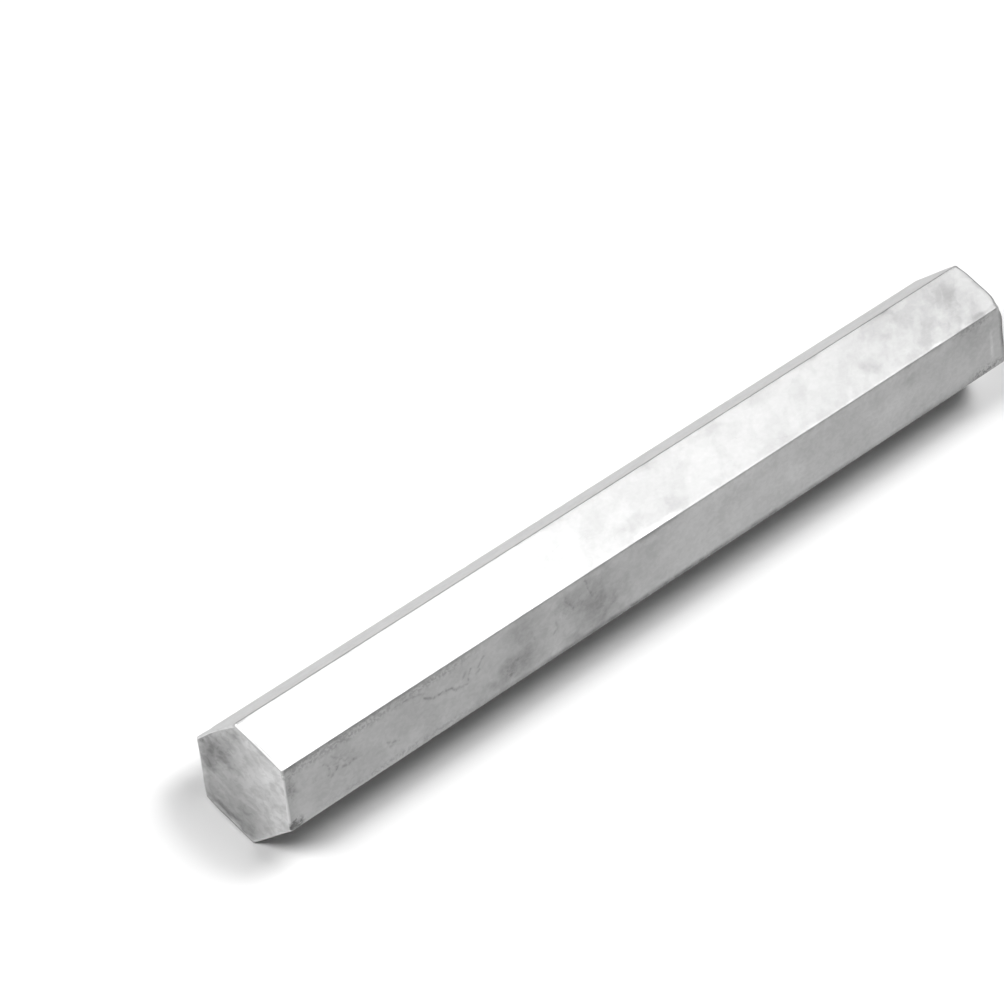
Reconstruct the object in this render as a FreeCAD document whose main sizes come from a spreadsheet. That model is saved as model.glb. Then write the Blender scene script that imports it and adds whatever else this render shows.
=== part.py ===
"""Hex bar stock: one cold-drawn bar of hexagonal section, sawn to length.

The bar lies along X on one of its flats, with its middle over the origin and Z = 0 under that flat.
Its section is what the drawing die leaves: six equal flats, with a small radius where two of them meet.
Each end is a square saw cut, and the burr of the saw is dressed off to a rounded edge all round.

Lengths are in millimetres.
"""

import FreeCAD
import Part
import math
import os
from enum import IntEnum

import Sketcher

PARTS_FOLDER = "parts"

# Driving dimensions: alias, value, what it is
SIZES = [
    ("across_flats", 31.75, "distance between opposite flats, 1 1/4 inch stock"),
    ("bar_length", 304.8, "from sawn end to sawn end, 12 inches"),
    ("corner_radius", 0.5, "radius that the die leaves between two flats"),
    ("end_radius", 0.8, "radius of the dressed edge round each sawn end"),
]

# The section's sides, counted from the corner at +Y towards +Z
SIDES = 6
TOP_SIDE = 1
BOTTOM_SIDE = 4

# The construction circle is drawn after the sides
CIRCLE = SIDES


class Point(IntEnum):
    """How the sketcher numbers the points of a curve."""

    START = 1
    END = 2
    CENTRE = 3


class Axis(IntEnum):
    """How the sketcher numbers a sketch's own axes."""

    HORIZONTAL = -1
    VERTICAL = -2


def make_sizes(doc):
    """The spreadsheet, with one aliased cell for each driving dimension."""
    sheet = doc.addObject("Spreadsheet::Sheet", "Sizes")
    for row, (alias, value, meaning) in enumerate(SIZES, start=1):
        sheet.set(f"A{row}", alias)
        sheet.set(f"B{row}", str(value))
        sheet.setAlias(f"B{row}", alias)
        sheet.set(f"C{row}", meaning)
    doc.recompute()
    return sheet


def hexagon(across_flats):
    """The middle and the sharp corners of the section, from the corner at +Y round towards +Z."""
    middle = FreeCAD.Vector(0, across_flats / 2, 0)
    middle_to_corner = across_flats / math.sqrt(3)
    corners = []
    for number in range(SIDES):
        angle = math.radians(number * 360 / SIDES)
        outwards = FreeCAD.Vector(math.cos(angle), math.sin(angle), 0)
        corners.append(middle + outwards * middle_to_corner)
    return middle, corners


def draw_section(body, sheet):
    """The sharp hexagon across the bar, with its bottom side on the floor line."""
    sketch = body.newObject("Sketcher::SketchObject", "Section")
    yz_plane = next(f for f in body.Origin.OriginFeatures if f.Role == "YZ_Plane")
    sketch.AttachmentSupport = (yz_plane, [""])
    sketch.MapMode = "FlatFace"

    middle, corners = hexagon(sheet.across_flats)
    for side in range(SIDES):
        sketch.addGeometry(Part.LineSegment(corners[side], corners[(side + 1) % SIDES]))
    through_corners = Part.Circle(middle, FreeCAD.Vector(0, 0, 1), middle.distanceToPoint(corners[0]))
    sketch.addGeometry(through_corners, True)

    def constrain(*kind_and_places):
        return sketch.addConstraint(Sketcher.Constraint(*kind_and_places))

    for side in range(SIDES):
        constrain("Coincident", side, Point.END, (side + 1) % SIDES, Point.START)
        constrain("PointOnObject", side, Point.START, CIRCLE)
        if side != BOTTOM_SIDE:
            constrain("Equal", BOTTOM_SIDE, side)
    constrain("Horizontal", BOTTOM_SIDE)
    constrain("PointOnObject", BOTTOM_SIDE, Point.START, Axis.HORIZONTAL)
    constrain("PointOnObject", CIRCLE, Point.CENTRE, Axis.VERTICAL)
    across = constrain(
        "DistanceY", BOTTOM_SIDE, Point.END, TOP_SIDE, Point.START, sheet.across_flats
    )
    sketch.renameConstraint(across, "across_flats")
    sketch.setExpression("Constraints.across_flats", "Sizes.across_flats")
    return sketch


def pad_length(body, section):
    """The section drawn out to the bar's length, half of it each way."""
    pad = body.newObject("PartDesign::Pad", "DrawnLength")
    pad.Profile = section
    pad.Midplane = True
    pad.setExpression("Length", "Sizes.bar_length")
    return pad


def round_corners(body, pad):
    """The die's radius on the long edges, which are those that pass the middle of the bar."""
    long_edges = []
    for number, edge in enumerate(pad.Shape.Edges, start=1):
        if edge.BoundBox.XMin < 0 < edge.BoundBox.XMax:
            long_edges.append(f"Edge{number}")
    fillet = body.newObject("PartDesign::Fillet", "DieRadius")
    fillet.Base = (pad, long_edges)
    fillet.setExpression("Radius", "Sizes.corner_radius")
    return fillet


def round_ends(body, drawn):
    """The dressed edge round the sawn ends, which are the faces that keep clear of the middle."""
    ends = []
    for number, face in enumerate(drawn.Shape.Faces, start=1):
        if face.BoundBox.XMin > 0 or face.BoundBox.XMax < 0:
            ends.append(f"Face{number}")
    fillet = body.newObject("PartDesign::Fillet", "DressedEnds")
    fillet.Base = (drawn, ends)
    fillet.setExpression("Radius", "Sizes.end_radius")
    return fillet


def make_bar(doc, sheet):
    """The whole bar: its section, its length, the die's radius and the dressed ends, in that order."""
    body = doc.addObject("PartDesign::Body", "Bar")
    body.Label = "hex_bar"
    feature = draw_section(body, sheet)
    for make_next in (pad_length, round_corners, round_ends):
        doc.recompute()
        feature = make_next(body, feature)
    doc.recompute()
    return body


def check(doc, body):
    """Stops if any object failed, or if the bar isn't one sound solid."""
    failed = [o.Name for o in doc.Objects if {"Invalid", "Error"} & set(o.State)]
    if failed:
        raise RuntimeError(f"these objects did not recompute: {failed}")
    shape = body.Shape
    if shape.isNull() or not shape.isValid() or len(shape.Solids) != 1:
        raise RuntimeError(f"{body.Label} is not one valid solid")


def main():
    doc = FreeCAD.newDocument("HexBarStock")
    sheet = make_sizes(doc)
    bar = make_bar(doc, sheet)
    check(doc, bar)
    os.makedirs(PARTS_FOLDER, exist_ok=True)
    bar.Shape.exportStep(os.path.join(PARTS_FOLDER, f"{bar.Label}.step"))
    box = bar.Shape.BoundBox
    print(f"{bar.Label}: {box.XLength:.2f} x {box.YLength:.2f} x {box.ZLength:.2f} mm")
    print(f"volume {bar.Shape.Volume:.1f} mm3, {len(bar.Shape.Faces)} faces")


main()
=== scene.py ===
"""Hex bar stock: one bright drawn bar of hexagonal steel with sawn ends, on a plain studio floor.

The bar lies along X on one of its flats, where its CAD solid is, and its length and its size across the
flats are read from there. Lengths are in metres; one that is written in millimetres is multiplied by MM.
"""

import math
from enum import IntEnum
from typing import NamedTuple

import bmesh
import bpy
from bpy.props import FloatProperty, FloatVectorProperty, IntProperty, PointerProperty
from bpy.types import Operator, Panel, PropertyGroup
from mathutils import Euler, Matrix, Vector, noise


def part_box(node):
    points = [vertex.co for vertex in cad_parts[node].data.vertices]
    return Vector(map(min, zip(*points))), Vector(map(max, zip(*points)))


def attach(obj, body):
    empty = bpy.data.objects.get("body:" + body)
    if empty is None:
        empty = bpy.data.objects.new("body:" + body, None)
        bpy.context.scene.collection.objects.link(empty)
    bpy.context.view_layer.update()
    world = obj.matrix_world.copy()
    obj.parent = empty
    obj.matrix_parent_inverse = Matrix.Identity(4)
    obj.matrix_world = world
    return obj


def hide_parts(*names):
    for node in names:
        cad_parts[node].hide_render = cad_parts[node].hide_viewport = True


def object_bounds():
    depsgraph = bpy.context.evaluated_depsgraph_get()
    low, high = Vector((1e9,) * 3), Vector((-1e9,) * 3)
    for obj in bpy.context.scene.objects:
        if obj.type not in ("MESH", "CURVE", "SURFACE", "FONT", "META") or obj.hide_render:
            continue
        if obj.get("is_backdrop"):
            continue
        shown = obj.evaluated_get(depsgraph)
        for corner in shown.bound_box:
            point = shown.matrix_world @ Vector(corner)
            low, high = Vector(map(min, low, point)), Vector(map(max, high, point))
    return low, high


bl_info = {
    "name": "Hex Bar Stock",
    "version": (1, 0, 0),
    "blender": (4, 5, 0),
    "location": "3D View > Sidebar > Hex Bar",
    "description": "A drawn hexagonal steel bar with sawn ends, and a studio to show it in",
    "category": "Add Mesh",
}

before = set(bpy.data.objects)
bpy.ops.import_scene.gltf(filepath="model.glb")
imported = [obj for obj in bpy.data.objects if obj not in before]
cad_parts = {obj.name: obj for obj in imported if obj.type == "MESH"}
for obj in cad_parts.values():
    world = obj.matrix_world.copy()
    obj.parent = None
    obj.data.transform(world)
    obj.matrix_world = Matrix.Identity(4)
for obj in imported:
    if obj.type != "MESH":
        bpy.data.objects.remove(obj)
CAD_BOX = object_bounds()

MM = 0.001
NODE = "hex_bar"
BODY = "root"

SIDES = 6
LOW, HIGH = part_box(NODE)
LENGTH = HIGH.x - LOW.x
MIDDLE_TO_FLAT = (HIGH.z - LOW.z) / 2
MIDDLE_TO_CORNER = MIDDLE_TO_FLAT / math.cos(math.radians(180 / SIDES))
AXIS = Vector((0, 0, MIDDLE_TO_FLAT))


class Side(IntEnum):
    """The flats, in order from the section's corner at +Y towards +Z."""

    BACK_UPPER = 0
    TOP = 1
    FRONT_UPPER = 2
    FRONT_LOWER = 3
    BOTTOM = 4
    BACK_LOWER = 5


class Finish(IntEnum):
    """The bar's finishes, in the order of its material slots."""

    DRAWN = 0
    SAWN = 1


# The ends, by the way along X that each one faces
NEAR, FAR = -1, 1

# Points that lie closer together than this are one point
SAME_POINT = 0.001 * MM


class DressedPlace(NamedTuple):
    """Where an end's dressed edge is fuller or finer: how much radius it gains there, and how far round.

    The place is in degrees round the axis, counted from +Y towards +Z.
    """

    end: int
    around: float
    extra: float
    reach: float


DRESSED_PLACES = (
    DressedPlace(end=NEAR, around=4, extra=-0.1 * MM, reach=3.0 * MM),
    DressedPlace(end=NEAR, around=28, extra=-0.5 * MM, reach=6.0 * MM),
    DressedPlace(end=NEAR, around=62, extra=0.2 * MM, reach=2.0 * MM),
    DressedPlace(end=NEAR, around=150, extra=-0.3 * MM, reach=7.0 * MM),
    DressedPlace(end=NEAR, around=182, extra=-0.3 * MM, reach=3.0 * MM),
    DressedPlace(end=NEAR, around=300, extra=0.4 * MM, reach=1.6 * MM),
    DressedPlace(end=FAR, around=60, extra=0.8 * MM, reach=2.4 * MM),
    DressedPlace(end=FAR, around=120, extra=2.4 * MM, reach=2.6 * MM),
    DressedPlace(end=FAR, around=150, extra=0.9 * MM, reach=6.0 * MM),
    DressedPlace(end=FAR, around=180, extra=1.2 * MM, reach=4.0 * MM),
)


class SawCut(NamedTuple):
    """An end's saw marks: how far they climb from level, in degrees, and where their pattern starts."""

    climb: float
    seed: float


SAW_CUTS = {NEAR: SawCut(climb=17.0, seed=3.0), FAR: SawCut(climb=-9.0, seed=41.0)}


class FlatPatch(NamedTuple):
    """A patch on a flat: where its middle is, how long and wide it is, and its strength.

    Its place is in millimetres from the near end and from the flat's first corner.
    """

    along: float
    across: float
    length: float
    width: float
    strength: float


# Where the flats are dull, flat by flat, and the painted shade that darkens the top towards the far end
SMUDGES_AND_SHADE = {
    Side.TOP: (
        # Painted shade: the top darkens towards the far end, where less light reflects from it
        FlatPatch(300, 9, 150, 80, 0.21),
        FlatPatch(240, 9, 240, 80, 0.29),
        FlatPatch(148, 9, 118, 80, 0.18),
        FlatPatch(126, 9, 70, 80, 0.10),
        # Where hands and cloths have dulled the top
        FlatPatch(128, 1.0, 8, 3, 0.10),
        FlatPatch(145, 13.5, 17, 6, 0.16),
        FlatPatch(159, 14.5, 13, 6, 0.14),
        FlatPatch(162, 1.8, 13, 3, 0.14),
        FlatPatch(189, 2.2, 18, 4, 0.12),
        FlatPatch(190, 17.0, 130, 6, 0.12),
        FlatPatch(209, 2.5, 14, 5, 0.10),
        FlatPatch(224, 8.0, 9, 6, 0.06),
        FlatPatch(250, 12.5, 11, 8, 0.15),
        FlatPatch(265, 7.0, 12, 6, 0.05),
        FlatPatch(274, 4.0, 16, 7, 0.06),
        FlatPatch(276, 10.5, 10, 6, 0.08),
        FlatPatch(292, 8.0, 17, 16, 0.20),
        FlatPatch(287, 14.5, 14, 6, 0.08),
        FlatPatch(292, 17.8, 36, 4, 0.28),
    ),
    Side.FRONT_UPPER: (
        FlatPatch(36, 9, 190, 50, 0.12),
        FlatPatch(2, 6.0, 5, 9, 0.25),
        FlatPatch(77, 16.0, 14, 7, 0.24),
        FlatPatch(88, 14.0, 22, 14, 0.30),
        FlatPatch(92, 4.0, 22, 9, 0.12),
        FlatPatch(97, 9.0, 24, 26, 0.16),
        FlatPatch(110, 5.0, 14, 7, 0.18),
        FlatPatch(111, 16.5, 14, 6, 0.26),
        FlatPatch(122, 12.0, 40, 34, 0.28),
        FlatPatch(122, 12.0, 22, 14, 0.10),
        FlatPatch(146, 5.0, 12, 9, 0.05),
        FlatPatch(261, 5.0, 12, 5, 0.14),
        FlatPatch(133, 9.0, 50, 40, 0.06),
        FlatPatch(290, 4.0, 34, 15, 0.20),
        FlatPatch(270, 16.5, 60, 6, 0.08),
    ),
}

# Dirt that keeps to the flats' borders, where it has a sharper outline. Some of it is painted shade: a dark
# band along the front flat's lower corner, which stands for the shadowed floor it mirrors, and the flats
# darkened where they turn over at the far end.
GRIME_AND_SHADE = {
    Side.FRONT_UPPER: (
        FlatPatch(20, 0.5, 150, 1.6, 0.38),
        FlatPatch(1.0, 9.0, 3, 30, 0.14),
        # Painted shade: the lower corner's dark reflection of the shadowed floor
        FlatPatch(160, 18.5, 300, 3.8, 0.90),
        FlatPatch(278, 18.5, 90, 4.2, 0.40),
        FlatPatch(1.6, 17.6, 7.5, 4.6, 0.80),
        # Painted shade where the front flat turns over at the far end
        FlatPatch(304.4, 9.0, 5.2, 44, 1.00),
    ),
    # Painted shade where the top turns over at the far end
    Side.TOP: (FlatPatch(304.4, 9.0, 4.6, 34, 0.36),),
}

# Where fine specks of dirt show
SPECKLED = {
    Side.FRONT_UPPER: (
        FlatPatch(20, 1.9, 110, 4.6, 0.40),
        FlatPatch(62, 1.6, 40, 4.0, 0.28),
        FlatPatch(2.2, 6.5, 5, 12, 0.32),
        FlatPatch(2.4, 17.0, 8, 5.0, 0.95),
        FlatPatch(21, 7.6, 18, 9, 0.16),
        FlatPatch(86, 13.5, 12, 9, 0.22),
        FlatPatch(112, 6.0, 20, 10, 0.14),
        FlatPatch(291, 1.2, 26, 3.0, 0.45),
        FlatPatch(295, 17.0, 26, 4.0, 0.60),
        FlatPatch(45, 17.0, 90, 2.4, 0.35),
    ),
}

# Where the flats are cleaner or rubbed
CLEAN_PLACES = {
    Side.FRONT_UPPER: (
        FlatPatch(205, 1.0, 210, 6.4, 0.18),
        FlatPatch(185, 8.0, 100, 34, 0.16),
        FlatPatch(208, 10.0, 12, 11, 0.22),
        FlatPatch(250, 9.5, 34, 10, 0.22),
        FlatPatch(298.4, 10.0, 2.4, 13, 0.60),
    ),
}

# The top is wiped, which leaves its clouds fainter than those of the other flats
WIPED = {Side.TOP: (FlatPatch(152, 9, 700, 60, 0.60),)}


class Scratch(NamedTuple):
    """A scratch on a flat: the points it runs through, placed as a patch is, and its strength."""

    points: tuple
    strength: float


# Scratches on the front upper flat that are deep enough to feel
GOUGES = (
    Scratch(((21.1, 9.7), (23.2, 9.9), (25.2, 9.5)), 0.55),
    Scratch(((19.3, 8.5), (18.4, 9.5)), 0.70),
    Scratch(((53.2, 5.3), (56.1, 6.8), (58.3, 6.9), (61.1, 7.7)), 0.55),
    Scratch(((61.1, 7.7), (61.9, 7.1), (64.0, 7.9), (65.1, 8.9)), 0.60),
    Scratch(((119.0, 3.8), (119.8, 5.6), (120.9, 7.2)), 0.50),
)

# Scratches there that only mark the surface
SCRATCHES = (
    # Round a knock near the near end
    Scratch(((17.5, 5.0), (20.0, 6.6), (22.2, 8.4)), 0.28),
    Scratch(((25.2, 9.5), (28.3, 10.1)), 0.30),
    Scratch(((14.3, 5.7), (16.0, 6.6), (16.3, 8.4), (15.5, 9.2)), 0.32),
    Scratch(((18.4, 9.5), (16.5, 10.3)), 0.32),
    Scratch(((11.3, 7.5), (11.3, 8.5)), 0.25),
    Scratch(((37.9, 11.1), (39.9, 12.1), (42.2, 12.4)), 0.36),
    Scratch(((38.7, 12.7), (40.3, 13.2)), 0.25),
    # Before and after the long one
    Scratch(((45.5, 2.5), (50.5, 3.3), (53.8, 4.4)), 0.32),
    Scratch(((65.1, 8.9), (66.5, 8.8), (69.6, 9.4)), 0.32),
    # Short ticks side by side
    Scratch(((76.9, 4.4), (75.8, 5.2), (74.5, 6.4)), 0.42),
    Scratch(((74.8, 7.5), (73.4, 8.2)), 0.32),
    Scratch(((71.5, 5.6), (70.7, 6.9), (70.3, 8.3)), 0.42),
    Scratch(((69.2, 5.6), (68.1, 7.0)), 0.30),
    # In the cloud before the middle
    Scratch(((84.0, 15.6), (85.6, 12.6)), 0.35),
    Scratch(((86.2, 14.8), (87.4, 12.0)), 0.28),
    Scratch(((88.5, 11.5), (91.0, 12.0)), 0.30),
    Scratch(((95.8, 6.8), (97.0, 9.4)), 0.22),
    Scratch(((105.6, 7.3), (105.9, 10.2), (104.1, 11.5)), 0.25),
    Scratch(((110.0, 3.2), (110.8, 4.8)), 0.30),
    Scratch(((111.7, 5.7), (112.8, 7.3)), 0.36),
    Scratch(((118.5, 1.7), (119.0, 3.8)), 0.34),
)


class EndPatch(NamedTuple):
    """A patch on an end, in millimetres right of and above the middle, as the near end is looked at."""

    end: int
    right: float
    up: float
    width: float
    height: float
    strength: float


# Where the sawn ends are rubbed bright, with painted light: the largest patches light the near end towards
# its top right
LIT_AND_RUBBED_PATCHES = (
    EndPatch(NEAR, right=8.0, up=11.0, width=17, height=12, strength=0.95),
    EndPatch(NEAR, right=10.0, up=1.0, width=18, height=24, strength=0.70),
    EndPatch(NEAR, right=-2.0, up=13.5, width=13, height=4, strength=0.4),
    EndPatch(NEAR, right=2.0, up=4.0, width=12, height=10, strength=0.35),
    EndPatch(NEAR, right=1.0, up=-1.0, width=14, height=6, strength=0.25),
    EndPatch(NEAR, right=4.0, up=8.0, width=10, height=8, strength=0.25),
    EndPatch(NEAR, right=14.0, up=-2.0, width=9, height=20, strength=0.35),
    EndPatch(NEAR, right=-1.0, up=-14.6, width=20, height=1.2, strength=0.3),
)

# Where they are dull, with painted shade: the near end is darker towards its left and along its bottom edge
SHADED_AND_DULL_PATCHES = (
    EndPatch(NEAR, right=-12.0, up=5.0, width=22, height=22, strength=0.38),
    EndPatch(NEAR, right=-9.0, up=13.0, width=12, height=7, strength=0.20),
    EndPatch(NEAR, right=-9.0, up=-12.0, width=9, height=7, strength=0.10),
    EndPatch(NEAR, right=-8.0, up=2.0, width=20, height=5, strength=0.15),
    EndPatch(NEAR, right=-14.0, up=-2.5, width=14, height=16, strength=0.36),
    EndPatch(NEAR, right=-11.0, up=-4.0, width=9, height=3, strength=0.15),
    EndPatch(NEAR, right=-3.0, up=-4.5, width=12, height=3, strength=0.15),
    EndPatch(NEAR, right=2.5, up=-8.0, width=18, height=6, strength=0.20),
    EndPatch(NEAR, right=6.0, up=-11.5, width=14, height=6, strength=0.22),
    EndPatch(NEAR, right=-1.0, up=-13.0, width=24, height=2.6, strength=0.40),
)

# Painted shade on the dressed edges: dark lines along the near end's top and bottom edges, and the far end's
# top and front edges darkened
EDGE_SHADE_PATCHES = (
    EndPatch(NEAR, right=-0.5, up=15.2, width=26, height=2.2, strength=0.42),
    EndPatch(NEAR, right=0.0, up=-15.8, width=30, height=5.0, strength=0.90),
    EndPatch(FAR, right=0.0, up=15.9, width=36, height=8.0, strength=0.45),
    EndPatch(FAR, right=13.7, up=7.9, width=16, height=32, strength=1.00),
)


class BarSizes(PropertyGroup):
    """The bar's small sizes, and how finely it is meshed"""

    die_radius: FloatProperty(
        name="Die Radius",
        description="Radius that the die leaves between two flats",
        default=0.5 * MM,
        subtype="DISTANCE",
    )
    end_radius: FloatProperty(
        name="End Radius",
        description="Radius of the dressed edge round each sawn end",
        default=0.8 * MM,
        subtype="DISTANCE",
    )
    end_unevenness: FloatProperty(
        name="End Unevenness",
        description="How much the dressed edge's radius varies, as a share of it",
        default=0.35,
        subtype="FACTOR",
    )
    ridge_nicks: FloatProperty(
        name="Ridge Nicks",
        description="Depth of the small knocks along the corners between flats",
        default=0.1 * MM,
        subtype="DISTANCE",
    )
    flat_waves: FloatProperty(
        name="Waves",
        description="How far the flats rise and fall along the bar",
        default=0.012 * MM,
        subtype="DISTANCE",
    )
    saw_pitch: FloatProperty(
        name="Saw Pitch",
        description="Distance between the saw's marks across a sawn end",
        default=1.1 * MM,
        subtype="DISTANCE",
    )
    saw_depth: FloatProperty(
        name="Saw Depth",
        description="Depth of the saw's marks",
        default=0.006 * MM,
        subtype="DISTANCE",
    )
    flat_strips: IntProperty(
        name="Flat Strips",
        description="Strips of faces across each flat",
        default=24,
        min=1,
    )
    ring_step: FloatProperty(
        name="Ring Step",
        description="Distance between rings of faces along the bar",
        default=1.2 * MM,
        subtype="DISTANCE",
    )


class SteelFinish(PropertyGroup):
    """The colours of the bar's finishes"""

    drawn_colour: FloatVectorProperty(
        name="Drawn",
        description="Colour of the clean drawn flats",
        default=(0.50, 0.50, 0.50),
        subtype="COLOR",
    )
    # Also the colour of the painted shade towards the top's far end
    stain_and_shade_colour: FloatVectorProperty(
        name="Stain",
        description="Colour of the drawn flats where they are dull",
        default=(0.24, 0.24, 0.24),
        subtype="COLOR",
    )
    sawn_colour: FloatVectorProperty(
        name="Sawn",
        description="Colour of the sawn ends",
        default=(0.52, 0.52, 0.52),
        subtype="COLOR",
    )
    # Also the colour of the painted shade along the edges and corners and on the near end
    mark_and_shade_colour: FloatVectorProperty(
        name="Marks",
        description="Colour of scratches, of dirt and of the hollows of the saw's marks",
        default=(0.16, 0.16, 0.16),
        subtype="COLOR",
    )
    # Also the colour of the painted highlight on the corners and of the painted light on the near end
    dressed_and_highlight_colour: FloatVectorProperty(
        name="Dressed",
        description="Colour of the dressed edges and the rubbed ridges",
        default=(0.68, 0.68, 0.68),
        subtype="COLOR",
    )


class StudioSettings(PropertyGroup):
    """The floor and the light"""

    floor_colour: FloatVectorProperty(
        name="Floor",
        description="Colour of the floor",
        default=(0.85, 0.85, 0.85),
        subtype="COLOR",
    )
    fill: FloatProperty(
        name="Fill",
        description="Strength of the light from all round",
        default=0.04,
        min=0,
    )
    mirrored: FloatProperty(
        name="Mirrored",
        description="How much brighter the backdrop is in the steel's reflections",
        default=0.2,
        min=0,
    )
    exposure: FloatProperty(
        name="Light",
        description="Strength of all the lamps together",
        default=1.0,
        min=0,
    )


def outwards_at(around):
    """The direction out from the axis, so many degrees round from +Y towards +Z."""
    turn = math.radians(around)
    return Vector((0, math.cos(turn), math.sin(turn)))


def corner(number):
    """A sharp corner of the section, counted from the one at +Y towards +Z."""
    return AXIS + outwards_at(number * 360 / SIDES) * MIDDLE_TO_CORNER


def outwards_from(side):
    """The direction that a flat faces."""
    return outwards_at((side + 0.5) * 360 / SIDES)


def on_top(along, across):
    """A point on the top flat, so many millimetres from the near end and from the flat's first corner."""
    first, second = corner(Side.TOP), corner(Side.TOP + 1)
    across_the_flat = (second - first).normalized() * across * MM
    return first + across_the_flat + Vector((LOW.x + along * MM, 0, 0))


def on_end(end, right, up):
    """A point on an end, so many millimetres right of and above its middle, as the near end is looked at."""
    return AXIS + Vector((LOW.x if end == NEAR else HIGH.x, -right * MM, up * MM))


# Steps of the mesh round the die's radius
DIE_SEGMENTS = 4


def draw_section(bm, sizes):
    """The face across the near end: six flats in strips, and the die's radius between them."""
    made = bmesh.ops.create_circle(bm, cap_ends=True, segments=SIDES, radius=MIDDLE_TO_CORNER)
    bmesh.ops.bevel(
        bm,
        geom=made["verts"],
        offset=sizes.die_radius * math.tan(math.radians(180 / SIDES)),
        affect="VERTICES",
        segments=DIE_SEGMENTS,
        profile=0.5,
        material=-1,
    )
    flats = sorted(bm.edges, key=lambda edge: edge.calc_length())[-SIDES:]
    bmesh.ops.subdivide_edges(bm, edges=flats, cuts=sizes.flat_strips - 1)
    stand_up = Matrix.Rotation(math.radians(-90), 4, "Y")
    at_near_end = Matrix.Translation(AXIS + Vector((LOW.x, 0, 0)))
    bmesh.ops.transform(bm, matrix=at_near_end @ stand_up, verts=bm.verts)
    return next(iter(bm.faces))


END_ZONE = 4 * MM
END_RINGS = 20


def ring_places(sizes):
    """The rings' distances from the near end. Towards either end they close up, for the dressed edge."""
    near_end = [END_ZONE * (ring / END_RINGS) ** 2 for ring in range(1, END_RINGS + 1)]
    middle = LENGTH - 2 * END_ZONE
    rings = round(middle / sizes.ring_step)
    along = [END_ZONE + middle * ring / rings for ring in range(1, rings)]
    far_end = [LENGTH - place for place in reversed(near_end)]
    return near_end + along + far_end + [LENGTH]


def extrude_bar(bm, loop, places):
    """Draws the section's loop of edges along the bar, with a ring at each place, and returns the last."""
    reached = 0
    for place in places:
        made = bmesh.ops.extrude_edge_only(bm, edges=loop)["geom"]
        ring = [item for item in made if isinstance(item, bmesh.types.BMVert)]
        bmesh.ops.translate(bm, verts=ring, vec=(place - reached, 0, 0))
        reached = place
        ring = set(ring)
        edges = [item for item in made if isinstance(item, bmesh.types.BMEdge)]
        loop = [edge for edge in edges if ring.issuperset(edge.verts)]
    return loop


# How fast the dressing changes round an end, and how far apart in the noise the two ends lie
DRIFT_AROUND = 2.5
ENDS_APART = 5


def dressed_radius(sizes, end, outwards):
    """The radius of an end's dressed edge, in a direction out from the axis. Filing leaves it uneven."""
    drift = noise.noise(outwards * DRIFT_AROUND + Vector((end * ENDS_APART, 0, 0)))
    radius = sizes.end_radius * (1 + sizes.end_unevenness * drift)
    for place in DRESSED_PLACES:
        if place.end == end:
            away = outwards.angle(outwards_at(place.around)) * MIDDLE_TO_CORNER
            radius += place.extra * math.exp(-((away / place.reach) ** 2))
    return radius


def edge_inset(radius, depth):
    """How far a rounded edge lies inside the flats, at a depth from the end."""
    short_of_flat = radius - max(depth, 0)
    if short_of_flat <= 0:
        return 0
    return radius - math.sqrt(radius**2 - short_of_flat**2)


# Where a corner between flats starts and is full, as shares of the way to its sharp corner
CORNER_STARTS, CORNER_FULL = 0.968, 0.995

# The nicks: how long one is, how much they differ from corner to corner, and the noise's value where
# one starts and where it is deepest
NICK_LENGTH = 5 * MM
NICK_SPREAD = 3
NICK_STARTS, NICK_DEEPEST = 0.3, 0.7

WAVE_LENGTH = 28 * MM


def smooth_step(value, start, end):
    """A smooth change from 0, where the value is at start, to 1, where it is at end."""
    share = min(max((value - start) / (end - start), 0), 1)
    return share * share * (3 - 2 * share)


def ridge_nick(sizes, point, outwards, from_axis):
    """How deep the corners between flats are knocked in at a point. Elsewhere it is nothing."""
    on_ridge = smooth_step(from_axis / MIDDLE_TO_CORNER, CORNER_STARTS, CORNER_FULL)
    if not on_ridge:
        return 0
    around = outwards * NICK_SPREAD
    knock = noise.noise(Vector((point.x / NICK_LENGTH, around.y, around.z)))
    return sizes.ridge_nicks * on_ridge * smooth_step(knock, NICK_STARTS, NICK_DEEPEST)


def worn_place(sizes, point):
    """Where a point of the true bar lies on the real one."""
    out = Vector((0, point.y, point.z)) - AXIS
    outwards = out.normalized()
    end = NEAR if point.x < 0 else FAR
    inset = edge_inset(dressed_radius(sizes, end, outwards), LENGTH / 2 - abs(point.x))
    inset += ridge_nick(sizes, point, outwards, out.length)
    inset += sizes.flat_waves * noise.noise(Vector((point.x / WAVE_LENGTH, outwards.y, outwards.z)))
    return AXIS + Vector((point.x, 0, 0)) + out * (1 - inset / MIDDLE_TO_FLAT)


# The mesh of a sawn end: strips of faces in each of the saw's marks, and their length along the stroke
STRIPS_IN_A_MARK = 4
STROKE_STEP = 1.5 * MM

# The saw's marks: their length in pitches, and how much finer the fine ones are along and across
MARK_LENGTH = 10
FINER_ALONG, FINER_ACROSS = 2, 2.3
FINE_SEED = 10


def cut_strips(bm, geometry, direction, step):
    """Cuts part of the mesh into strips of an even width across a direction."""
    cuts = round(2 * MIDDLE_TO_CORNER / step)
    for cut in range(1, cuts):
        place = AXIS + direction * (cut * step - MIDDLE_TO_CORNER)
        geometry = bmesh.ops.bisect_plane(
            bm, geom=geometry, dist=SAME_POINT, plane_co=place, plane_no=direction
        )["geom"]
    return geometry


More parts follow.
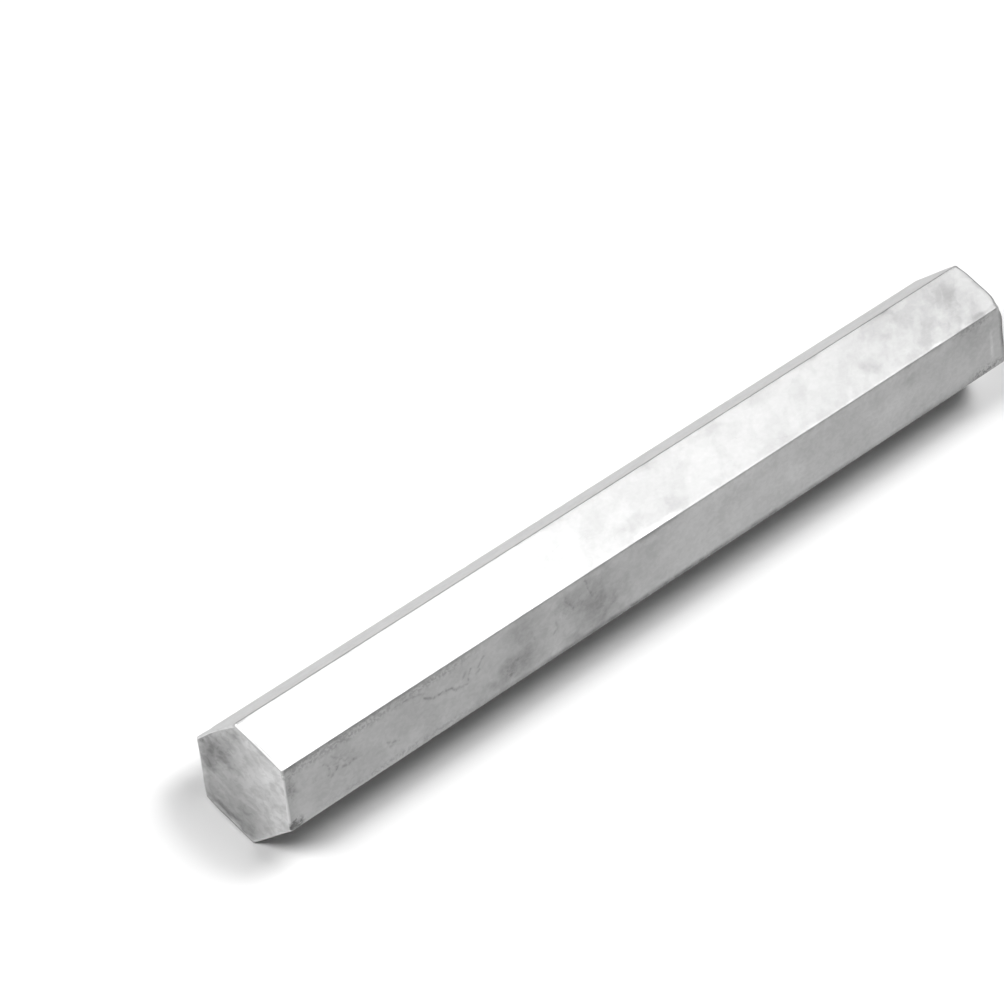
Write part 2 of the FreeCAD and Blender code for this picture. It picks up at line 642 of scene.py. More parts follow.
def saw_end(bm, face, cut, sizes):
    """Gives a plain end the low relief of the saw's teeth: long ridges and hollows along its stroke."""
    climb = math.radians(cut.climb)
    stroke = Vector((0, -math.cos(climb), math.sin(climb)))
    square = Vector((0, math.sin(climb), math.cos(climb)))
    geometry = [face, *face.edges, *face.verts]
    geometry = cut_strips(bm, geometry, square, sizes.saw_pitch / STRIPS_IN_A_MARK)
    geometry = cut_strips(bm, geometry, stroke, STROKE_STEP)
    for item in geometry:
        if isinstance(item, bmesh.types.BMFace):
            item.material_index = Finish.SAWN
        elif isinstance(item, bmesh.types.BMVert):
            along = (item.co - AXIS).dot(stroke) / (MARK_LENGTH * sizes.saw_pitch)
            across = (item.co - AXIS).dot(square) / sizes.saw_pitch
            coarse = noise.noise(Vector((along, across, cut.seed)))
            finer = Vector((along * FINER_ALONG, across * FINER_ACROSS, cut.seed + FINE_SEED))
            item.co.x += sizes.saw_depth * (coarse + noise.noise(finer) / 2)


def sort_faces(bm):
    """Sorts the faces by their points, because extruding leaves them in a different order each run."""
    bm.verts.index_update()
    points = len(bm.verts)

    def rank(face):
        first, second, third = sorted(vert.index for vert in face.verts)[:3]
        return (first * points + second) * points + third

    bm.faces.sort(key=rank)


def model_bar(sizes):
    """The bar's mesh: drawn to length, worn, and sawn at both ends."""
    bm = bmesh.new()
    near_face = draw_section(bm, sizes)
    last_ring = extrude_bar(bm, bm.edges[:], ring_places(sizes))
    far_face = bmesh.ops.contextual_create(bm, geom=last_ring)["faces"][0]
    for vert in bm.verts:
        vert.co = worn_place(sizes, vert.co)
    for face in bm.faces:
        face.smooth = True
        face.material_index = Finish.DRAWN
    for end, face in ((NEAR, near_face), (FAR, far_face)):
        saw_end(bm, face, SAW_CUTS[end], sizes)
    bmesh.ops.remove_doubles(bm, verts=bm.verts, dist=SAME_POINT)
    bmesh.ops.recalc_face_normals(bm, faces=bm.faces)
    sort_faces(bm)
    mesh = bpy.data.meshes.new("drawn_bar")
    bm.to_mesh(mesh)
    bm.free()
    return mesh


# The Mix node's sockets for colours, by number, because several of its sockets share a name
MIX_SHARE, MIX_FIRST, MIX_SECOND, MIX_RESULT = 0, 6, 7, 2


def add_node(tree, kind, inputs=None, **settings):
    """A node with its settings, and each input that is named given a value or linked to a socket."""
    node = tree.nodes.new(kind)
    for name, value in settings.items():
        setattr(node, name, value)
    for key, value in (inputs or {}).items():
        if isinstance(value, bpy.types.NodeSocket):
            tree.links.new(value, node.inputs[key])
        else:
            node.inputs[key].default_value = value
    return node


def maths(tree, operation, *values, clamp=False):
    """What a Math node makes of some numbers or sockets."""
    inputs = dict(enumerate(values))
    return add_node(tree, "ShaderNodeMath", inputs, operation=operation, use_clamp=clamp).outputs[0]


def vector_maths(tree, operation, *values):
    """What a Vector Math node makes of some vectors or sockets."""
    node = add_node(tree, "ShaderNodeVectorMath", dict(enumerate(values)), operation=operation)
    is_number = operation in ("LENGTH", "DISTANCE", "DOT_PRODUCT")
    return node.outputs["Value" if is_number else "Vector"]


def fade(tree, value, start, end, low=0.0, high=1.0):
    """A smooth change from low, where the value is at start, to high, where it is at end."""
    inputs = {"Value": value, "From Min": start, "From Max": end, "To Min": low, "To Max": high}
    node = add_node(tree, "ShaderNodeMapRange", inputs, interpolation_type="SMOOTHSTEP")
    return node.outputs["Result"]


def between(tree, share, low, high):
    """A value that runs smoothly from low to high as a share goes from 0 to 1."""
    return fade(tree, share, 0.0, 1.0, low, high)


def mix_colours(tree, share, first, second):
    """The first colour where the share is 0, and the second where it is 1."""
    inputs = {MIX_SHARE: share, MIX_FIRST: first, MIX_SECOND: second}
    return add_node(tree, "ShaderNodeMix", inputs, data_type="RGBA").outputs[MIX_RESULT]


def strongest(tree, masks):
    """The strongest of several masks at each point."""
    result = 0.0
    for mask in masks:
        result = maths(tree, "MAXIMUM", result, mask)
    return result


def total(tree, masks):
    """Several masks added up, to 1 at most.

    Each is added as it is made, because the renderer can hold only so many unused values at a time.
    """
    result = 0.0
    for mask in masks:
        result = maths(tree, "ADD", result, mask, clamp=True)
    return result


def new_group(name, inputs, output):
    """An empty node group, with the sockets that its nodes read and the sockets that they feed."""
    group = bpy.data.node_groups.new(name, "ShaderNodeTree")
    for label, kind in inputs.items():
        group.interface.new_socket(label, in_out="INPUT", socket_type=f"NodeSocket{kind}")
    label, kind = output
    group.interface.new_socket(label, in_out="OUTPUT", socket_type=f"NodeSocket{kind}")
    given = group.nodes.new("NodeGroupInput").outputs
    result = group.nodes.new("NodeGroupOutput").inputs[label]
    return group, given, result


def build_clouds():
    """Soft clouds of about the size of Grain each way, from where the noise passes Start to Full."""
    inputs = {"Position": "Vector", "Grain": "Vector", "Start": "Float", "Full": "Float"}
    group, given, result = new_group("Clouds", inputs, ("Mask", "Float"))
    place = vector_maths(group, "DIVIDE", given["Position"], given["Grain"])
    inputs = {"Vector": place, "Scale": 1.0, "Detail": 3.0, "Roughness": 0.5, "Distortion": 0.6}
    cloud = add_node(group, "ShaderNodeTexNoise", inputs).outputs["Fac"]
    group.links.new(fade(group, cloud, given["Start"], given["Full"]), result)
    return group


def build_wander():
    """Moves each point to and fro within Amount, so that what is drawn there has a ragged outline."""
    inputs = {"Position": "Vector", "Size": "Float", "Amount": "Float"}
    group, given, result = new_group("Wander", inputs, ("Position", "Vector"))
    place = vector_maths(group, "DIVIDE", given["Position"], given["Size"])
    inputs = {"Vector": place, "Scale": 1.0, "Detail": 3.0}
    drift = add_node(group, "ShaderNodeTexNoise", inputs).outputs["Color"]
    both_ways = vector_maths(group, "SUBTRACT", drift, (0.5, 0.5, 0.5))
    shift = vector_maths(group, "MULTIPLY", both_ways, given["Amount"])
    group.links.new(vector_maths(group, "ADD", given["Position"], shift), result)
    return group


def build_fine_lines():
    """Fine parallel lines. Grain is how long one is, and how far apart they are the other two ways."""
    inputs = {"Position": "Vector", "Grain": "Vector"}
    group, given, result = new_group("Fine Lines", inputs, ("Height", "Float"))
    place = vector_maths(group, "DIVIDE", given["Position"], given["Grain"])
    inputs = {"Vector": place, "Scale": 1.0, "Detail": 2.0, "Roughness": 0.6}
    group.links.new(add_node(group, "ShaderNodeTexNoise", inputs).outputs["Fac"], result)
    return group


def build_patch():
    """One soft patch, strongest at its centre and gone at its reach each way."""
    inputs = {"Position": "Vector", "Centre": "Vector", "Reach": "Vector"}
    group, given, result = new_group("Patch", inputs, ("Mask", "Float"))
    offset = vector_maths(group, "SUBTRACT", given["Position"], given["Centre"])
    share = vector_maths(group, "LENGTH", vector_maths(group, "DIVIDE", offset, given["Reach"]))
    group.links.new(fade(group, share, start=1.0, end=0.2), result)
    return group


def build_scratch():
    """One straight scratch from Start to End, strongest along its middle."""
    inputs = {"Position": "Vector", "Start": "Vector", "End": "Vector", "Width": "Float"}
    group, given, result = new_group("Scratch", inputs, ("Mask", "Float"))
    run = vector_maths(group, "SUBTRACT", given["End"], given["Start"])
    offset = vector_maths(group, "SUBTRACT", given["Position"], given["Start"])
    reached = vector_maths(group, "DOT_PRODUCT", offset, run)
    whole = vector_maths(group, "DOT_PRODUCT", run, run)
    share = maths(group, "DIVIDE", reached, whole, clamp=True)
    nearest = add_node(group, "ShaderNodeVectorMath", {0: run, "Scale": share}, operation="SCALE")
    away = vector_maths(group, "DISTANCE", offset, nearest.outputs["Vector"])
    half = maths(group, "MULTIPLY", given["Width"], 0.5)
    group.links.new(fade(group, away, half, 0.0), result)
    return group


def build_hairlines():
    """Long wandering hairlines, as handling leaves: the thin borders between a noise's high and low."""
    inputs = {"Position": "Vector", "Grain": "Vector", "Width": "Float"}
    group, given, result = new_group("Hairlines", inputs, ("Mask", "Float"))
    place = vector_maths(group, "DIVIDE", given["Position"], given["Grain"])
    field = add_node(group, "ShaderNodeTexNoise", {"Vector": place, "Scale": 1.0}).outputs["Fac"]
    off_border = maths(group, "ABSOLUTE", maths(group, "SUBTRACT", field, 0.5))
    line = fade(group, off_border, given["Width"], 0.0)
    inputs = {"Vector": place, "Scale": 0.35}
    presence = add_node(group, "ShaderNodeTexNoise", inputs).outputs["Fac"]
    group.links.new(maths(group, "MULTIPLY", line, fade(group, presence, start=0.5, end=0.65)), result)
    return group


def build_ridges():
    """The corners between flats, which stand furthest from the axis, where they are rubbed bright and carry
    a painted highlight.
    """
    inputs = {"Position": "Vector", "Start": "Float", "Full": "Float"}
    group, given, result = new_group("Ridges", inputs, ("Mask", "Float"))
    from_axis = vector_maths(group, "SUBTRACT", given["Position"], AXIS)
    across_bar = vector_maths(group, "MULTIPLY", from_axis, (0, 1, 1))
    out = vector_maths(group, "LENGTH", across_bar)
    group.links.new(fade(group, out, given["Start"], given["Full"]), result)
    return group


def build_rim():
    """The border of the section: 0 where it is Start from the axis to the nearest flat, and 1 at Full."""
    inputs = {"Position": "Vector", "Start": "Float", "Full": "Float"}
    group, given, result = new_group("Rim", inputs, ("Mask", "Float"))
    from_axis = vector_maths(group, "SUBTRACT", given["Position"], AXIS)
    to_flats = []
    for side in (Side.TOP, Side.FRONT_UPPER, Side.BACK_UPPER):
        reach = vector_maths(group, "DOT_PRODUCT", from_axis, outwards_from(side))
        to_flats.append(maths(group, "ABSOLUTE", reach))
    group.links.new(fade(group, strongest(group, to_flats), given["Start"], given["Full"]), result)
    return group


GROUPS = {
    "Clouds": build_clouds,
    "Wander": build_wander,
    "Fine Lines": build_fine_lines,
    "Patch": build_patch,
    "Scratch": build_scratch,
    "Hairlines": build_hairlines,
    "Ridges": build_ridges,
    "Rim": build_rim,
}


def effect(tree, name, **inputs):
    """What one of the shared effects puts out, placed in a material with its own values."""
    group = bpy.data.node_groups.get(name) or GROUPS[name]()
    return add_node(tree, "ShaderNodeGroup", inputs, node_tree=group).outputs[0]


def new_metal(name):
    """A material with a metal shader, and the place on the bar that its patterns read."""
    material = bpy.data.materials.new(name)
    material.use_nodes = True
    tree = material.node_tree
    shader = tree.nodes["Principled BSDF"]
    shader.inputs["Metallic"].default_value = 1.0
    position = add_node(tree, "ShaderNodeTexCoord").outputs["Object"]
    return material, tree, shader, position


def colour(rgb):
    """A colour as a socket takes it."""
    return (*rgb, 1.0)


def finish_metal(tree, shader, base, roughness, height, relief):
    """Feeds the shader its colour and roughness, and its relief through a bump."""
    tree.links.new(base, shader.inputs["Base Color"])
    tree.links.new(roughness, shader.inputs["Roughness"])
    bump = add_node(tree, "ShaderNodeBump", {"Strength": 1.0, "Distance": relief, "Height": height})
    tree.links.new(bump.outputs["Normal"], shader.inputs["Normal"])


def with_on_top(tree, position, side):
    """The place on the bar if it were rolled over until a flat is on top, where marks are placed."""
    roll = math.radians((Side.TOP - side) * 360 / SIDES)
    inputs = {"Vector": position, "Center": AXIS, "Axis": (1, 0, 0), "Angle": roll}
    return add_node(tree, "ShaderNodeVectorRotate", inputs).outputs["Vector"]


# How far the patches reach into the steel, in millimetres
FLAT_DEPTH = 3
EDGE_DEPTH = 3.5
END_DEPTH = 10


def patch_mask(tree, position, centre, reach, strength):
    """One patch, with its reach in millimetres."""
    patch = effect(tree, "Patch", Position=position, Centre=centre, Reach=Vector(reach) * MM)
    return maths(tree, "MULTIPLY", patch, strength)


def flat_masks(tree, position, patches):
    """Patches that are placed one by one on a flat."""
    for patch in patches:
        centre = on_top(patch.along, patch.across)
        reach = (patch.length / 2, patch.width / 2, FLAT_DEPTH)
        yield patch_mask(tree, position, centre, reach, patch.strength)


def end_masks(tree, position, patches, depth):
    """Patches that are placed one by one on the ends."""
    for patch in patches:
        centre = on_end(patch.end, patch.right, patch.up)
        reach = (depth, patch.width / 2, patch.height / 2)
        yield patch_mask(tree, position, centre, reach, patch.strength)


def patched(tree, places, patches):
    """How strongly the patches mark the flats, each kept to its own flat."""
    flats = []
    for side, (position, on_flat) in places.items():
        masks = flat_masks(tree, position, patches.get(side, ()))
        flats.append(maths(tree, "MULTIPLY", total(tree, masks), on_flat))
    return total(tree, flats)


SCRATCH_WIDTH = 1.4 * MM


def scratch_masks(tree, position, scratches):
    """Scratches that are placed one by one on a flat."""
    for scratch in scratches:
        for start, end in zip(scratch.points, scratch.points[1:]):
            line = effect(
                tree,
                "Scratch",
                Position=position,
                Start=on_top(*start),
                End=on_top(*end),
                Width=SCRATCH_WIDTH,
            )
            yield maths(tree, "MULTIPLY", line, scratch.strength)


def clouds(tree, position, grain, start, full):
    """Soft clouds, with the size of their grain in millimetres."""
    return effect(tree, "Clouds", Position=position, Grain=Vector(grain) * MM, Start=start, Full=full)


def fine_lines(tree, position, grain):
    """Fine parallel lines, with their length and their distances in millimetres."""
    return effect(tree, "Fine Lines", Position=position, Grain=Vector(grain) * MM)


MARKED_FLATS = (Side.TOP, Side.FRONT_UPPER)

# How squarely the surface faces as a flat does where the flat's marks end, and where they are whole
OFF_FLAT, ON_FLAT = 0.84, 0.93


def facing_as(tree, side):
    """Where the surface faces as a flat does, also where it turns over at an end. Elsewhere it is 0."""
    normal = add_node(tree, "ShaderNodeTexCoord").outputs["Normal"]
    across_bar = vector_maths(tree, "MULTIPLY", normal, (0, 1, 1))
    around = vector_maths(tree, "NORMALIZE", across_bar)
    facing = vector_maths(tree, "DOT_PRODUCT", around, outwards_from(side))
    return fade(tree, facing, OFF_FLAT, ON_FLAT)


def marked_places(tree, position, size, amount):
    """Where each marked flat's marks are read, and a mask that keeps them to that flat.

    The size and the amount make their outline more or less ragged.
    """
    ragged = effect(tree, "Wander", Position=position, Size=size, Amount=amount)
    return {side: (with_on_top(tree, ragged, side), facing_as(tree, side)) for side in MARKED_FLATS}


# The flats' clouds: how they slant, and the shares of broad and small ones
SLANT = math.radians(-40)
BROAD_SHARE, SMALL_SHARE = 0.6, 0.4

# How strongly the marks show that cover the flats all over
MOTTLE_STRENGTH = 0.13
SPECK_STRENGTH = 0.13
HAIRLINE_STRENGTH = 0.12

# Where the corners between flats are rubbed bright and given a painted highlight, as shares of the way to a
# sharp corner, and how brightly
RUBBED_AND_LIT_STARTS, RUBBED_AND_LIT_FULL = 0.984, 0.993
RUBBED_AND_LIT_MOST, RUBBED_AND_LIT_LEAST = 0.25, 0.1

# How the marks that are placed one by one vary
SMUDGE_AND_SHADE_FAINTEST, SMUDGE_AND_SHADE_STRONGEST = 0.85, 1.15
SCRATCH_FAINTEST = 0.4

CLEAN_ROUGHNESS, DULL_ROUGHNESS = 0.37, 0.5

# The relief of the die's lines and of the gouges, as shares of the whole
LINE_HEIGHT = 0.3
GOUGE_DEPTH = 2.0


def drawn_flats(tree, position, finish):
    """Bright drawn steel with the die's fine lines, clouded, smudged and scratched by handling, with painted
    shade towards the top's far end and a painted highlight on the corners.
    """
    ragged_on = marked_places(tree, position, 6 * MM, 5 * MM)
    jagged_on = marked_places(tree, position, 2 * MM, 1.2 * MM)
    inputs = {"Vector": position, "Rotation": (0, 0, SLANT)}
    slanting = add_node(tree, "ShaderNodeMapping", inputs).outputs["Vector"]
    broad = clouds(tree, slanting, (16, 9, 9), start=0.40, full=0.60)
    small = clouds(tree, slanting, (6, 3.5, 3.5), start=0.40, full=0.62)
    specks = clouds(tree, position, (2, 1.2, 1.2), start=0.35, full=0.65)
    die_lines = fine_lines(tree, position, (60, 0.35, 0.35))
    hairlines = effect(
        tree, "Hairlines", Position=position, Grain=Vector((22, 5, 5)) * MM, Width=0.006
    )
    ridges = effect(
        tree,
        "Ridges",
        Position=position,
        Start=RUBBED_AND_LIT_STARTS * MIDDLE_TO_CORNER,
        Full=RUBBED_AND_LIT_FULL * MIDDLE_TO_CORNER,
    )

    broad = maths(tree, "MULTIPLY", broad, BROAD_SHARE)
    mottle = maths(tree, "MULTIPLY_ADD", small, SMALL_SHARE, broad)
    # The smudges also carry the painted shade towards the top's far end
    smudges_and_shade = patched(tree, ragged_on, SMUDGES_AND_SHADE)
    vary = between(tree, mottle, SMUDGE_AND_SHADE_FAINTEST, SMUDGE_AND_SHADE_STRONGEST)
    uneven = maths(tree, "MULTIPLY", smudges_and_shade, vary)
    speckled = maths(tree, "MULTIPLY", specks, SPECK_STRENGTH)
    clouded = maths(tree, "MULTIPLY_ADD", mottle, MOTTLE_STRENGTH, speckled)
    unwiped = maths(tree, "SUBTRACT", 1.0, patched(tree, ragged_on, WIPED))
    clouded = maths(tree, "MULTIPLY", clouded, unwiped)
    darkened = total(tree, [uneven, clouded])

    broken = between(tree, specks, SCRATCH_FAINTEST, 1.0)
    front, _ = jagged_on[Side.FRONT_UPPER]
    gouges = strongest(tree, scratch_masks(tree, front, GOUGES))
    gouges = maths(tree, "MULTIPLY", gouges, broken)
    scratches = strongest(tree, scratch_masks(tree, front, SCRATCHES))
    scratches = maths(tree, "MULTIPLY", scratches, broken)
    hairlines = maths(tree, "MULTIPLY", hairlines, HAIRLINE_STRENGTH)
    scored = strongest(tree, [gouges, scratches, hairlines])

    # The corners' painted highlight, over their rubbing
    rubbing_and_sheen = between(tree, small, RUBBED_AND_LIT_MOST, RUBBED_AND_LIT_LEAST)
    brightened = maths(tree, "MULTIPLY", ridges, rubbing_and_sheen)
    brightened = total(tree, [brightened, patched(tree, jagged_on, CLEAN_PLACES)])
    base = mix_colours(tree, brightened, colour(finish.drawn_colour), colour(finish.dressed_and_highlight_colour))
    base = mix_colours(tree, darkened, base, colour(finish.stain_and_shade_colour))
    base = mix_colours(tree, scored, base, colour(finish.mark_and_shade_colour))
    worn = strongest(tree, [darkened, ridges])
    roughness = between(tree, worn, CLEAN_ROUGHNESS, DULL_ROUGHNESS)
    lines = maths(tree, "MULTIPLY", die_lines, LINE_HEIGHT)
    depth = maths(tree, "MULTIPLY_ADD", gouges, GOUGE_DEPTH, hairlines)
    height = maths(tree, "SUBTRACT", lines, depth)
    return base, roughness, height


GRIME_AND_SHADE_FAINTEST, GRIME_AND_SHADE_STRONGEST = 0.7, 1.1


def grime_and_shade_mask(tree, position):
    """Dirt along the borders of the flats, and specks of it, with painted shade along the front flat's lower
    corner and at the far end.
    """
    frayed_on = marked_places(tree, position, 1 * MM, 0.5 * MM)
    uneven = clouds(tree, position, (5, 3, 3), start=0.35, full=0.65)
    pits = clouds(tree, position, (1.1, 0.8, 0.8), start=0.42, full=0.60)
    grime_and_shade = patched(tree, frayed_on, GRIME_AND_SHADE)
    vary = between(tree, uneven, GRIME_AND_SHADE_FAINTEST, GRIME_AND_SHADE_STRONGEST)
    grime_and_shade = maths(tree, "MULTIPLY", grime_and_shade, vary)
    speckled = patched(tree, frayed_on, SPECKLED)
    return total(tree, [grime_and_shade, maths(tree, "MULTIPLY", speckled, pits)])


EDGE_DULLNESS = 0.5


def dressed_edges(tree, position, finish):
    """The edges of the ends, where the saw's burr was filed and rubbed off, with painted shade along some of
    them.
    """
    strokes = fine_lines(tree, position, (0.6, 4, 4))
    cloudy = clouds(tree, position, (4, 4, 4), start=0.4, full=0.7)
    darkened = maths(tree, "MULTIPLY", cloudy, EDGE_DULLNESS)
    # Painted shade along the dressed edges
    edge_shade = total(tree, end_masks(tree, position, EDGE_SHADE_PATCHES, EDGE_DEPTH))
    base = mix_colours(tree, darkened, colour(finish.dressed_and_highlight_colour), colour(finish.drawn_colour))
    base = mix_colours(tree, edge_shade, base, colour(finish.mark_and_shade_colour))
    roughness = fade(tree, strokes, start=0.3, end=0.7, low=0.48, high=0.58)
    return base, roughness, strokes


# How far the surface faces along the bar where the dressed edge starts, and where it is full
EDGE_STARTS, EDGE_FULL = 0.08, 0.5

DRAWN_RELIEF = 0.01 * MM


def make_drawn_steel(finish):
    """The length of the bar: drawn flats, and a dressed edge where they turn over towards an end."""
    material, tree, shader, position = new_metal("drawn_steel")
    flat_base, flat_roughness, flat_height = drawn_flats(tree, position, finish)
    edge_base, edge_roughness, edge_height = dressed_edges(tree, position, finish)
    facing = add_node(tree, "ShaderNodeTexCoord").outputs["Normal"]
    towards_end = maths(tree, "ABSOLUTE", vector_maths(tree, "DOT_PRODUCT", facing, (1, 0, 0)))
    edge = fade(tree, towards_end, EDGE_STARTS, EDGE_FULL)
    base = mix_colours(tree, edge, flat_base, edge_base)
    # Dirt, with painted shade along the lower corner and at the far end
    base = mix_colours(tree, grime_and_shade_mask(tree, position), base, colour(finish.mark_and_shade_colour))
    roughness = between(tree, edge, flat_roughness, edge_roughness)
    height = between(tree, edge, flat_height, edge_height)
    finish_metal(tree, shader, base, roughness, height, DRAWN_RELIEF)
    return material


STREAK_STRENGTH = 0.19
SCUFF_STRENGTH = 0.17
# How bright the end's border is: rubbed by the file, and a painted reflection of the lit floor
BORDER_RUBBED_AND_LIT = 0.45
SAWN_ROUGHNESS, STAINED_ROUGHNESS = 0.42, 0.52
SAWN_RELIEF = 0.006 * MM


def make_sawn_steel(finish):
    """The ends: soft marks along the near cut's stroke, with the border rubbed bright by the file and given
    a painted reflection, and painted light and shade across the near end.
    """
    material, tree, shader, position = new_metal("sawn_steel")
    inputs = {"Vector": position, "Rotation": (math.radians(SAW_CUTS[NEAR].climb), 0, 0)}
    along_stroke = add_node(tree, "ShaderNodeMapping", inputs).outputs["Vector"]
    ragged = effect(tree, "Wander", Position=position, Size=4 * MM, Amount=5 * MM)
    wavering = effect(tree, "Wander", Position=position, Size=3 * MM, Amount=1.2 * MM)
    streaks = clouds(tree, along_stroke, (20, 6, 3.4), start=0.35, full=0.7)
    scuffs = clouds(tree, along_stroke, (20, 2.2, 1.4), start=0.4, full=0.65)
    teeth = fine_lines(tree, along_stroke, (20, 3, 0.4))
    border = effect(
        tree,
        "Rim",
        Position=wavering,
        Start=MIDDLE_TO_FLAT - 2.8 * MM,
        Full=MIDDLE_TO_FLAT - 1.4 * MM,
    )

    # Painted light on the near end's top right, with its rubbed patches
    brightened = total(tree, end_masks(tree, position, LIT_AND_RUBBED_PATCHES, END_DEPTH))
    # The border, rubbed bright and given a painted reflection
    brightened = total(tree, [brightened, maths(tree, "MULTIPLY", border, BORDER_RUBBED_AND_LIT)])
    # Painted shade on the near end's left and bottom, with its dull patches
    shaded_and_stained = total(tree, end_masks(tree, ragged, SHADED_AND_DULL_PATCHES, END_DEPTH))
    scuffed = maths(tree, "MULTIPLY", scuffs, SCUFF_STRENGTH)
    worked = maths(tree, "MULTIPLY_ADD", streaks, STREAK_STRENGTH, scuffed)
    darkened = total(tree, [shaded_and_stained, worked])
    base = mix_colours(tree, brightened, colour(finish.sawn_colour), colour(finish.dressed_and_highlight_colour))
    base = mix_colours(tree, darkened, base, colour(finish.mark_and_shade_colour))
    roughness = between(tree, darkened, SAWN_ROUGHNESS, STAINED_ROUGHNESS)
    finish_metal(tree, shader, base, roughness, teeth, SAWN_RELIEF)
    return material


def link(thing):
    """Puts an object in the scene."""
    bpy.context.scene.collection.objects.link(thing)
    return thing


class HEXBAR_OT_drawn_bar(Operator):
    """Models the bar and gives it its finishes"""

    bl_idname = "hexbar.drawn_bar"
    bl_label = "Drawn Bar"
    bl_options = {"REGISTER", "UNDO"}

    def execute(self, context):
        mesh = model_bar(context.scene.hex_bar_sizes)
        finish = context.scene.hex_bar_finish
        for make_material in (make_drawn_steel, make_sawn_steel):
            mesh.materials.append(make_material(finish))
        bar = link(bpy.data.objects.new("drawn_bar", mesh))
        bar.modifiers.new("Even Shading", "WEIGHTED_NORMAL")
        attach(bar, BODY)
        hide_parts(NODE)
        return {"FINISHED"}


class Lamp(NamedTuple):
    """A soft light far off: where it stands and how wide it looks, in degrees, and its strength.

    The azimuth is counted from +X, past the far end, towards +Y.
    """

    name: str
    azimuth: float
    elevation: float
    width: float
    strength: float


LAMPS = (
    Lamp("overhead", azimuth=0, elevation=70, width=36, strength=1.1),
    Lamp("overhead_far", azimuth=0, elevation=58, width=24, strength=1.2),
    Lamp("sheen", azimuth=26, elevation=58, width=20, strength=0.18),
    Lamp("window", azimuth=158, elevation=42, width=24, strength=2.55),
)

FLOOR_RADIUS = 12
FLOOR_SEGMENTS = 96


def towards(azimuth, elevation):
    """The direction at an azimuth from +X towards +Y and an elevation, both in degrees."""
    turn, rise = math.radians(azimuth), math.radians(elevation)
    return Vector((math.cos(rise) * math.cos(turn), math.cos(rise) * math.sin(turn), math.sin(rise)))


def make_floor(studio):
    """A plain pale floor under the bar."""
    bm = bmesh.new()
    bmesh.ops.create_circle(bm, cap_ends=True, segments=FLOOR_SEGMENTS, radius=FLOOR_RADIUS)
    mesh = bpy.data.meshes.new("floor")
    bm.to_mesh(mesh)
    bm.free()
    material = bpy.data.materials.new("floor_paint")
    material.use_nodes = True
    shader = material.node_tree.nodes["Principled BSDF"]
    shader.inputs["Base Color"].default_value = colour(studio.floor_colour)
    shader.inputs["Roughness"].default_value = 0.9
    shader.inputs["Specular IOR Level"].default_value = 0.0
    mesh.materials.append(material)
    link(bpy.data.objects.new("floor", mesh))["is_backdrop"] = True


def make_lamps(studio):
    """The soft lights round the bar."""
    for lamp in LAMPS:
        light = bpy.data.lights.new(lamp.name, "SUN")
        light.angle = math.radians(lamp.width)
        light.energy = lamp.strength * studio.exposure
        direction = towards(lamp.azimuth, lamp.elevation)
        thing = link(bpy.data.objects.new(lamp.name, light))
        thing.location = direction
        thing.rotation_euler = direction.to_track_quat("Z", "Y").to_euler()


def make_backdrop(studio):
    """A pale backdrop. The steel mirrors some of it, but it hardly lights the floor's shadows."""
    world = bpy.data.worlds.new("studio")
    bpy.context.scene.world = world
    world.use_nodes = True
    tree = world.node_tree
    path = add_node(tree, "ShaderNodeLightPath").outputs
    strength = maths(tree, "MULTIPLY_ADD", path["Is Glossy Ray"], studio.mirrored, studio.fill)
    strength = maths(tree, "MAXIMUM", strength, path["Is Camera Ray"])
    backdrop = tree.nodes["Background"]
    backdrop.inputs["Color"].default_value = (1, 1, 1, 1)
    tree.links.new(strength, backdrop.inputs["Strength"])


# The photograph's frame, and where its view puts the camera
PHOTO_WIDTH = 1004
FOCAL_LENGTH_IN_PIXELS = 5488.2
SENSOR_WIDTH = 36
CAMERA_AZIMUTH = -63.62
CAMERA_ELEVATION = 46.24
CAMERA_ROLL = 23.43
CAMERA_DISTANCE = 1.5389
LOOKED_AT = Vector((-7.6, 35.5, 0)) * MM


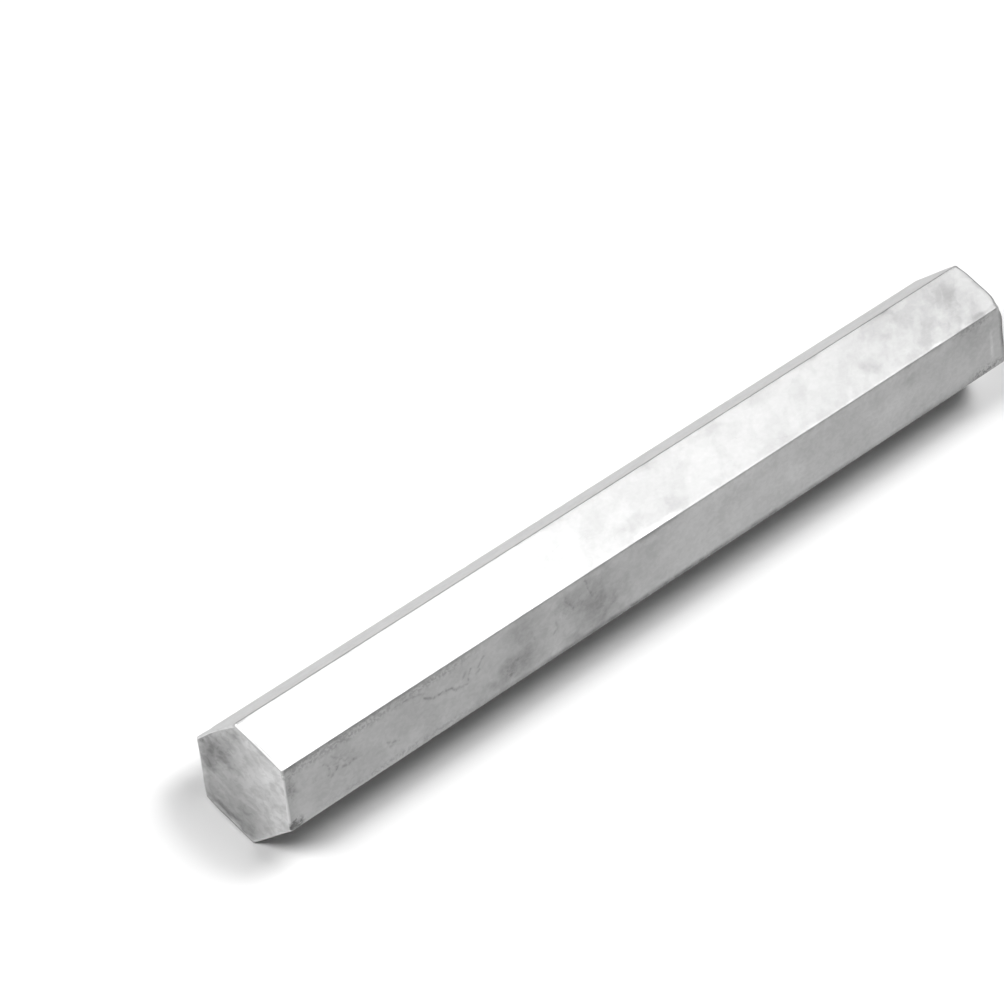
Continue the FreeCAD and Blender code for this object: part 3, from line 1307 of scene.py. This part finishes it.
def make_camera():
    """The camera, where the photograph was taken from. It is rolled, because the bar isn't level there."""
    turn, rise = math.radians(CAMERA_AZIMUTH), math.radians(CAMERA_ELEVATION)
    back = Vector((math.sin(turn) * math.cos(rise), -math.cos(turn) * math.cos(rise), math.sin(rise)))
    lens = bpy.data.cameras.new("camera")
    lens.sensor_width = SENSOR_WIDTH
    lens.lens = FOCAL_LENGTH_IN_PIXELS / PHOTO_WIDTH * SENSOR_WIDTH
    camera = link(bpy.data.objects.new("camera", lens))
    camera.location = LOOKED_AT + back * CAMERA_DISTANCE
    roll = Euler((0, 0, math.radians(CAMERA_ROLL))).to_quaternion()
    camera.rotation_euler = ((-back).to_track_quat("-Z", "Y") @ roll).to_euler()
    bpy.context.scene.camera = camera


class HEXBAR_OT_studio(Operator):
    """Sets up the floor, the lights, the backdrop and the camera"""

    bl_idname = "hexbar.studio"
    bl_label = "Studio"
    bl_options = {"REGISTER", "UNDO"}

    def execute(self, context):
        studio = context.scene.hex_bar_studio
        make_floor(studio)
        make_lamps(studio)
        make_backdrop(studio)
        make_camera()
        context.scene.view_settings.view_transform = "Standard"
        return {"FINISHED"}


class HEXBAR_PT_sidebar(Panel):
    """Lists the settings and the operators"""

    bl_idname = "HEXBAR_PT_sidebar"
    bl_label = "Hex Bar Stock"
    bl_space_type = "VIEW_3D"
    bl_region_type = "UI"
    bl_category = "Hex Bar"

    def draw(self, context):
        layout = self.layout
        for settings in SETTINGS:
            group = getattr(context.scene, settings)
            for name in group.bl_rna.properties.keys():
                if name not in ("rna_type", "name"):
                    layout.prop(group, name)
        for operator in OPERATORS:
            layout.operator(operator.bl_idname)


SETTINGS = {
    "hex_bar_sizes": BarSizes,
    "hex_bar_finish": SteelFinish,
    "hex_bar_studio": StudioSettings,
}
OPERATORS = (HEXBAR_OT_drawn_bar, HEXBAR_OT_studio)


def register():
    for name, group in SETTINGS.items():
        bpy.utils.register_class(group)
        setattr(bpy.types.Scene, name, PointerProperty(type=group))
    for made in (*OPERATORS, HEXBAR_PT_sidebar):
        bpy.utils.register_class(made)


def unregister():
    for made in (HEXBAR_PT_sidebar, *reversed(OPERATORS)):
        bpy.utils.unregister_class(made)
    for name, group in SETTINGS.items():
        delattr(bpy.types.Scene, name)
        bpy.utils.unregister_class(group)


def write_sizes():
    """Gathers the CAD box and the dressed bar's box side by side; nothing is written."""
    boxes = {"cad": CAD_BOX, "visual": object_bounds()}
    plain = {name: [list(low), list(high)] for name, (low, high) in boxes.items()}


def main():
    register()
    bpy.ops.hexbar.drawn_bar()
    bpy.ops.hexbar.studio()
    write_sizes()


if __name__ == "__main__":
    main()
